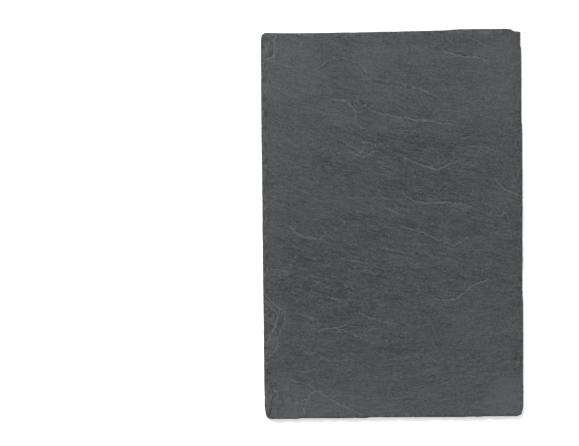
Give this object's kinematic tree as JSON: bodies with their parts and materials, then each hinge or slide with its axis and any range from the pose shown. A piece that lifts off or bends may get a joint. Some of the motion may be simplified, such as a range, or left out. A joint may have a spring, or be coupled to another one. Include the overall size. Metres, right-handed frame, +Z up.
{
  "type": "slate slab",
  "caption": "Thin rectangular riven slate slab with a rippled, ledged upper face, hand-chipped edges and a flat bed underneath.",
  "frame": {"origin": "middle of the outline, on the surface that the slab lies on", "axes": "+X across the slab, +Y along it, +Z up out of the riven upper face"},
  "size_m": [0.2029, 0.302, 0.0058],
  "materials": {
    "slate": "dull riven slate, dark grey with a slight blue tint"
  },
  "bodies": {
    "root": {"slate_slab": "slate"}
  },
  "joints": []
}
